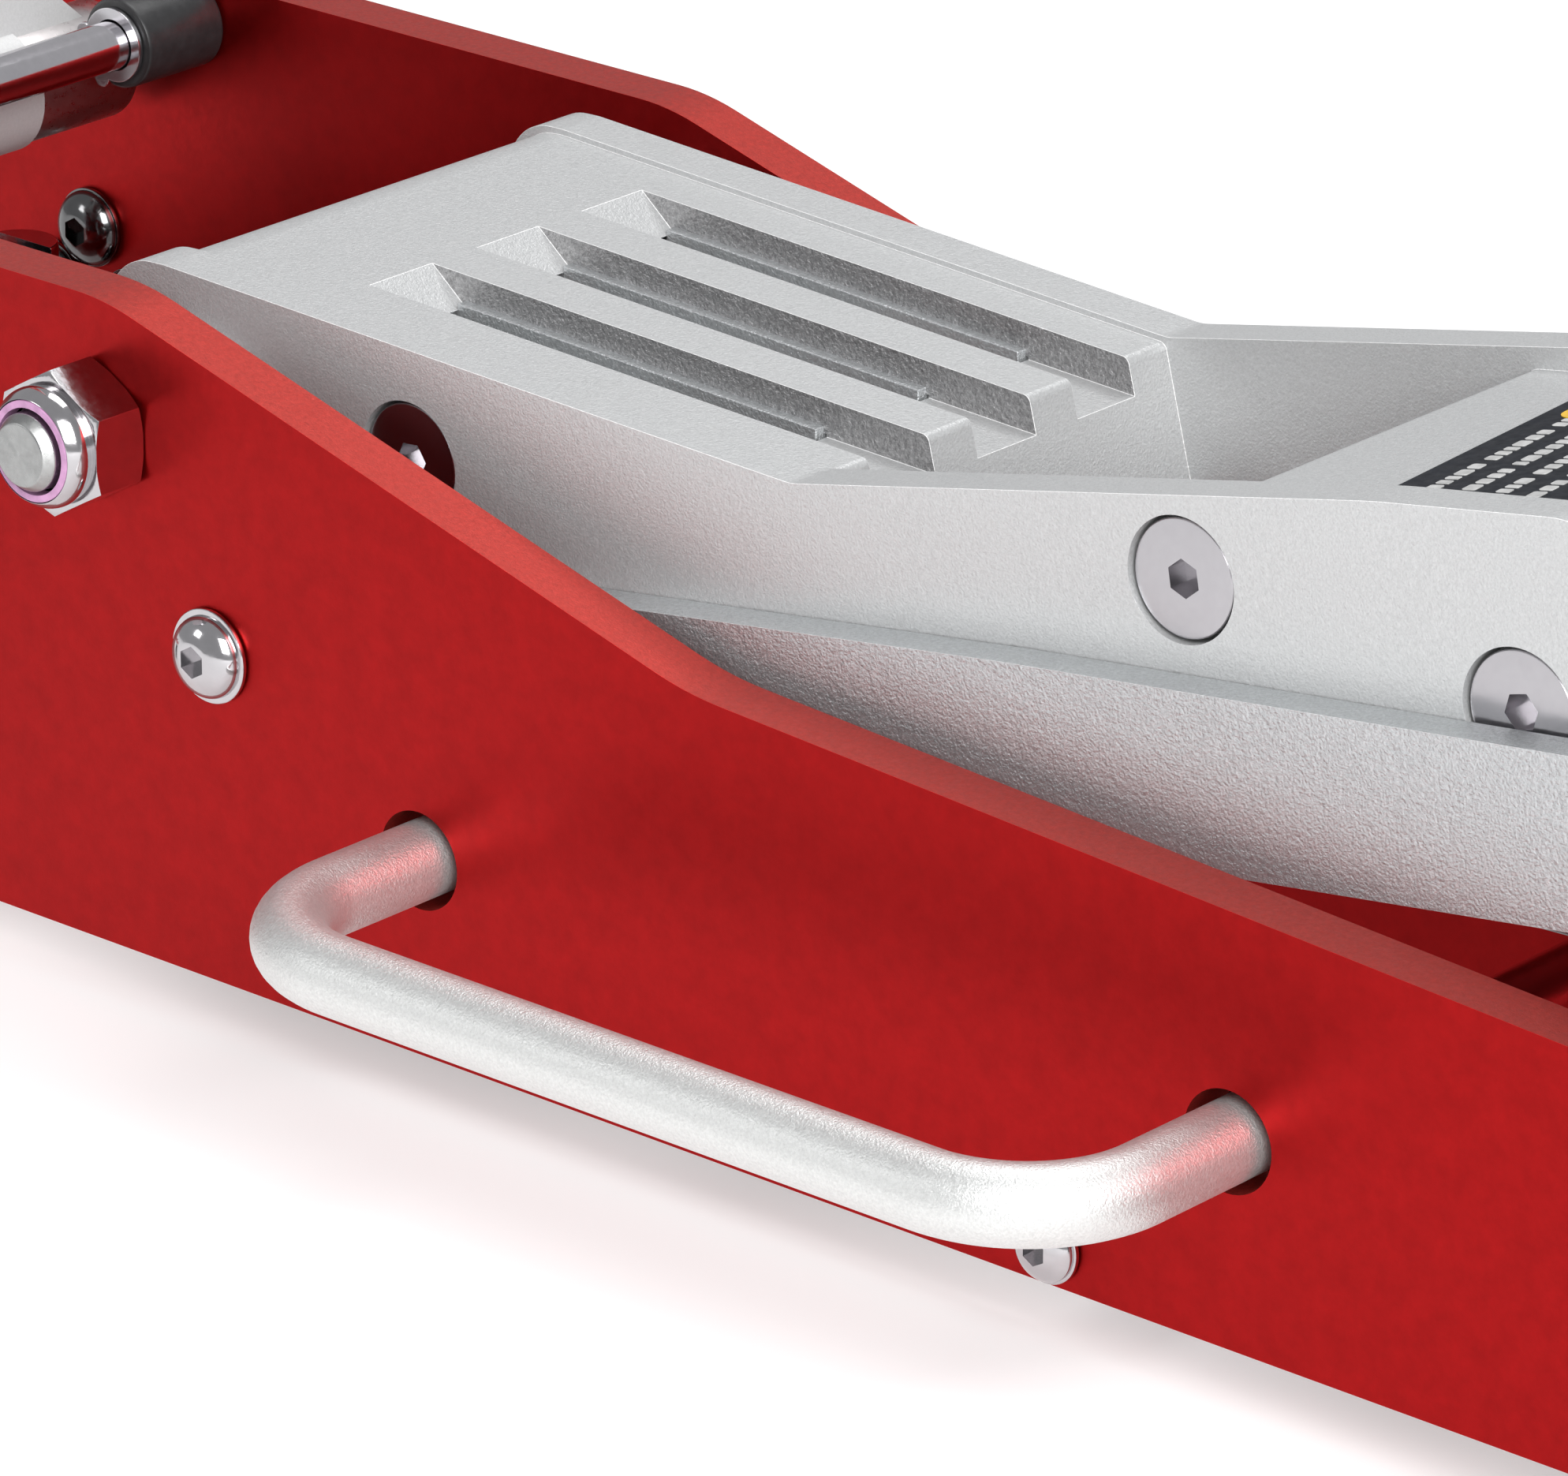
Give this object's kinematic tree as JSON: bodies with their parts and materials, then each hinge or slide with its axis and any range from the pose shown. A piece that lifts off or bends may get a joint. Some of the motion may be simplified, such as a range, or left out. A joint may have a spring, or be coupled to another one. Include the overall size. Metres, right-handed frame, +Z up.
{
  "type": "trolley jack",
  "caption": "Low-profile hydraulic trolley jack for lifting a car: a cast lift arm between two red side plates, with a turning saddle, pump handle and wheels.",
  "frame": {"origin": "on the ground, under the centre of the bounding box", "axes": "+X towards the saddle end, +Y to the jack's left, +Z up; the arm is partly raised and the pump handle stands up"},
  "size_m": [0.8488, 0.303, 1.0163],
  "materials": {
    "red_anodised": "satin anodised",
    "cast_aluminium": "sand cast, silver painted",
    "satin_aluminium": "satin",
    "bright_steel": "zinc plated, bright",
    "steel": "machined",
    "chrome": "polished",
    "black_plastic": "moulded",
    "rubber": "moulded",
    "red_paint": "gloss paint"
  },
  "bodies": {
    "chassis": {"right_side_plate": "red_anodised", "right_carry_handle": "satin_aluminium", "right_shaft_nut": "bright_steel", "right_rod_anchor_pin": "steel", "right_anchor_screw": "bright_steel", "right_tie_screw": "bright_steel", "right_stop_sleeve": "black_plastic", "right_stop_circlip": "bright_steel", "right_caster_bracket": "red_paint", "right_bracket_screw_1": "bright_steel", "right_bracket_screw_2": "bright_steel", "right_bracket_screw_3": "bright_steel", "left_side_plate": "red_anodised", "left_carry_handle": "satin_aluminium", "left_shaft_nut": "bright_steel", "left_rod_anchor_pin": "steel", "left_anchor_screw": "bright_steel", "left_tie_screw": "bright_steel", "left_stop_sleeve": "black_plastic", "left_stop_circlip": "bright_steel", "left_caster_bracket": "red_paint", "left_bracket_screw_1": "bright_steel", "left_bracket_screw_2": "bright_steel", "left_bracket_screw_3": "bright_steel", "lift_arm_shaft": "bright_steel", "front_tie_bar": "chrome", "handle_stop_rod": "chrome", "front_axle": "bright_steel", "pump_block": "red_paint", "ram_cylinder": "steel", "yoke_shaft": "bright_steel"},
    "lift_arm": {"arm_shell": "cast_aluminium", "arm_frame": "cast_aluminium", "saddle_pin": "bright_steel", "right_arm_screw_1": "bright_steel", "right_arm_screw_2": "bright_steel", "right_arm_screw_3": "bright_steel", "left_arm_screw_1": "bright_steel", "left_arm_screw_2": "bright_steel", "left_arm_screw_3": "bright_steel"},
    "saddle_bracket": {"saddle_bracket": "steel"},
    "saddle": {"saddle": "steel", "saddle_pad": "rubber"},
    "control_rods": {"right_control_rod": "steel", "left_control_rod": "steel"},
    "ram": {"ram_rod": "chrome"},
    "yoke": {"handle_yoke": "cast_aluminium", "pump_roller": "steel", "handle_clamp_screw": "black_plastic"},
    "handle": {"handle_tube": "red_paint", "handle_grip": "rubber"},
    "plunger": {"pump_plunger": "chrome", "pump_spring": "steel"},
    "valve": {"release_valve": "bright_steel"},
    "right_front_wheel": {"right_front_wheel": "steel"},
    "right_caster_fork": {"right_caster_fork": "steel"},
    "right_caster_wheel": {"right_caster_wheel": "black_plastic"},
    "left_front_wheel": {"left_front_wheel": "steel"},
    "left_caster_fork": {"left_caster_fork": "steel"},
    "left_caster_wheel": {"left_caster_wheel": "black_plastic"}
  },
  "joints": [
    {"name": "arm_lift", "type": "hinge", "parent": "chassis", "child": "lift_arm", "pos_m": [-0.05616, 0, 0.1262], "axis": [0, -1, 0], "range_deg": [-12, 45]},
    {"name": "saddle_level", "type": "hinge", "parent": "lift_arm", "child": "saddle_bracket", "pos_m": [0.32583, 0, 0.142], "axis": [0, -1, 0], "range_deg": [-45, 12]},
    {"name": "saddle_turn", "type": "hinge", "parent": "saddle_bracket", "child": "saddle", "pos_m": [0.33383, 0, 0.162], "axis": [0, 0, 1], "continuous": true},
    {"name": "control_rod_swing", "type": "hinge", "parent": "chassis", "child": "control_rods", "pos_m": [-0.02476, 0, 0.0853], "axis": [0, -1, 0], "range_deg": [-12, 45]},
    {"name": "ram_stroke", "type": "slide", "parent": "chassis", "child": "ram", "axis": [1, 0, 0], "range_m": [-0.0125, 0.045]},
    {"name": "handle_pump", "type": "hinge", "parent": "chassis", "child": "yoke", "pos_m": [-0.21887, 0, 0.1325], "axis": [0, -1, 0], "range_deg": [0, 50], "stiffness_Nm_per_rad": 8, "springref_deg": -28.65},
    {"name": "pump_stroke", "type": "slide", "parent": "chassis", "child": "plunger", "axis": [0, 0, 1], "range_m": [-0.0226, 0], "deforming": ["pump_spring"]},
    {"name": "handle_turn", "type": "hinge", "parent": "yoke", "child": "handle", "pos_m": [-0.21887, 0, 0.1325], "axis": [-0.2079, 0, 0.9781], "range_deg": [0, 120]},
    {"name": "release_valve_turn", "type": "hinge", "parent": "chassis", "child": "valve", "pos_m": [-0.20516, 0.031, 0.08], "axis": [0, 0, 1], "range_deg": [0, 120]},
    {"name": "right_front_wheel_spin", "type": "hinge", "parent": "chassis", "child": "right_front_wheel", "pos_m": [0.38843, -0.106, 0.036], "axis": [0, 1, 0], "continuous": true},
    {"name": "right_caster_swivel", "type": "hinge", "parent": "chassis", "child": "right_caster_fork", "pos_m": [-0.23217, -0.127, 0.0595], "axis": [0, 0, 1], "continuous": true},
    {"name": "right_caster_wheel_spin", "type": "hinge", "parent": "right_caster_fork", "child": "right_caster_wheel", "pos_m": [-0.24216, -0.127, 0.024], "axis": [0, 1, 0], "continuous": true},
    {"name": "left_front_wheel_spin", "type": "hinge", "parent": "chassis", "child": "left_front_wheel", "pos_m": [0.38843, 0.106, 0.036], "axis": [0, 1, 0], "continuous": true},
    {"name": "left_caster_swivel", "type": "hinge", "parent": "chassis", "child": "left_caster_fork", "pos_m": [-0.23217, 0.127, 0.0595], "axis": [0, 0, 1], "continuous": true},
    {"name": "left_caster_wheel_spin", "type": "hinge", "parent": "left_caster_fork", "child": "left_caster_wheel", "pos_m": [-0.24216, 0.127, 0.024], "axis": [0, 1, 0], "continuous": true}
  ],
  "couplings": [
    {"joint": "saddle_level", "follows": "arm_lift", "ratio": -1},
    {"joint": "control_rod_swing", "follows": "arm_lift", "ratio": 1},
    {"joint": "ram_stroke", "follows": "arm_lift", "m_per_rad": 0.0566},
    {"joint": "pump_stroke", "follows": "handle_pump", "m_per_rad": -0.0257},
    {"joint": "release_valve_turn", "follows": "handle_turn", "ratio": 1}
  ]
}
